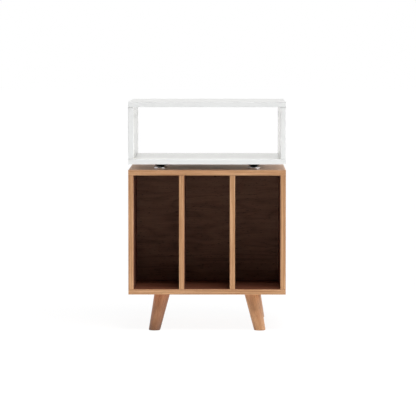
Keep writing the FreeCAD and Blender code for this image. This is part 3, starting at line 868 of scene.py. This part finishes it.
# Rubber: a dull, very dark grey that hardly reflects.
dress(["foot_" + corner + "_pad" for corner in corners],
      moulded_finish("black_rubber", "1a1a1a", roughness=0.85, grain_mm=0.7,
                     grain_height_mm=0.05))
# Black paint: the insert's own black coat, and also painted shade for the dark gap between hub and
# board, so the hub seems to go on up to the board.
dress(["foot_inserts"],
      moulded_finish("black_coated_steel_and_painted_shade", "101011", roughness=0.5, grain_mm=0.8,
                     grain_height_mm=0.01))

# %% [markdown]
# The fittings that hold the boards are mostly hidden. They could stay undressed, but the cams can
# be seen from inside, and all of them once the stand is taken apart. Cams are zinc castings, dull
# from the mould. Screws and bolts are plated and brighter.

# %% Cams, screws and bolts
# Cast zinc: dull and grainy, its grey darkened as painted shade of the recess that each cam is
# sunk in.
dress(["cabinet_cam_locks", "riser_cam_locks"],
      metal_finish("zinc_casting_with_painted_shade", "4c4d50", roughness=0.6, grain_mm=0.7,
                   grain_height_mm=0.03))
# Plated steel: a cool bright grey with a soft highlight along the shank.
dress(["cabinet_cam_bolts", "riser_cam_bolts", "cabinet_screws", "riser_screws", "leg_bolts",
       "leg_inserts"],
      metal_finish("plated_screw_steel", "b4b6b8", roughness=0.3, grain_mm=0.8,
                   grain_height_mm=0.01))

# %% [markdown]
# The dowels are bare beech rods. Beech has no arches on so thin a rod, only short flecks. A plain
# tan would do while they are hidden, but the recipe is at hand, and at a small scale it gives
# those flecks. The grain runs up the rods of both boxes.

# %% Beech dowels
BEECH = dict(OAK, dark="c79c6c", light="e2c298", pore="a57c52", figure_mm=12.0, streak_mm=1.0)

# Bare beech: pale, dry and dull, because nothing seals it.
beech, beech_shader, beech_position = start_finish("bare_beech_dowel")
beech_along = grain_position(beech, beech_position, "z", (0.3, 0.3, 0.3))
lacquer(beech, beech_shader, wood_figure(beech, beech_along, BEECH), roughness=0.7, gloss=0.3)
dress(["cabinet_dowels", "riser_dowels", "leg_dowels"], beech)

# %% [markdown]
# Four cover caps hide the cams inside the riser. In the photograph they show only as thin grey
# lenses on the inner faces, because they are seen nearly edge-on. Each is a shallow dome with a
# short rim. A sphere cut by a plane would give the dome too, but half of its outline, spun about
# its own axis, gives dome and rim in one go.

# %% Shape of a cap
cap_radius = 8.0 * MM
cap_rim = 0.2 * MM
cap_dome = 0.8 * MM
cap_steps = 40
same_place = 0.01 * MM
# Half of the dome's outline from its middle outwards: share of the radius, share of the dome.
cap_outline = ((0.0, 1.0), (0.35, 0.95), (0.68, 0.72), (0.90, 0.36), (1.0, 0.0))


def cap_mesh(name, face, outwards):
    """A domed cap on an inner face: its axis runs through the given point, along X."""
    shape = bmesh.new()
    outline = [shape.verts.new((outwards * (cap_rim + cap_dome * height), 0, cap_radius * share))
               for share, height in cap_outline]
    outline.append(shape.verts.new((0, 0, cap_radius)))
    outline.append(shape.verts.new((0, 0, 0)))
    for one, next_one in zip(outline, outline[1:]):
        shape.edges.new((one, next_one))
    bmesh.ops.spin(shape, geom=shape.verts[:] + shape.edges[:], cent=(0, 0, 0), axis=(1, 0, 0),
                   dvec=(0, 0, 0), angle=2 * math.pi, steps=cap_steps, use_merge=True,
                   use_duplicate=False)
    bmesh.ops.remove_doubles(shape, verts=shape.verts[:], dist=same_place)
    bmesh.ops.recalc_face_normals(shape, faces=shape.faces[:])
    bmesh.ops.translate(shape, verts=shape.verts[:], vec=face)
    for one_face in shape.faces:
        one_face.smooth = True
    mesh = bpy.data.meshes.new(name)
    shape.to_mesh(mesh)
    shape.free()
    return mesh


print("a cap stands proud by mm:", round((cap_rim + cap_dome) / MM, 1))

# %% [markdown]
# The caps sit where the frame's cams are. Their places could be typed in, but measured from the
# cams they stay right if the frame changes. They ride on the riser and lift with it. Their grey
# is darker than the board: partly the caps' own moulded grey, and partly painted shade, so that
# the thin lenses seen edge-on read as dark marks.

# %% Cover caps
# Moulded caps: a flat grey, partly painted shade, that sets them off from the board.
cap_grey_and_painted_shade = moulded_finish("grey_cap_with_painted_shade", "c9cac7", roughness=0.45, grain_mm=0.6,
                             grain_height_mm=0.01)
cam_low, cam_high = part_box("riser_cam_locks")
cam_radius = (cam_high.z - cam_low.z) / 2
cam_height = cam_low.z + cam_radius
cam_rows = {"front": cam_low.y + cam_radius, "rear": cam_high.y - cam_radius}
riser_inner_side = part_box("riser_right_side")[0].x

for side, sign in (("left", -1), ("right", 1)):
    for end, row in cam_rows.items():
        name = "cover_cap_%s_%s" % (end, side)
        mesh = cap_mesh(name, Vector((sign * riser_inner_side, row, cam_height)), -sign)
        mesh.materials.append(cap_grey_and_painted_shade)
        cap = bpy.data.objects.new(name, mesh)
        bpy.context.scene.collection.objects.link(cap)
        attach(cap, "riser")
        print(name, "at mm above the floor:", round(cam_height / MM, 1))

# %% [markdown]
# The view transform stays plain, so that a colour renders about as it is written. A filmic one
# would soften the brightest parts, but it would also turn the white sweep grey.

# %% Finish
bpy.context.scene.view_settings.view_transform = "Standard"
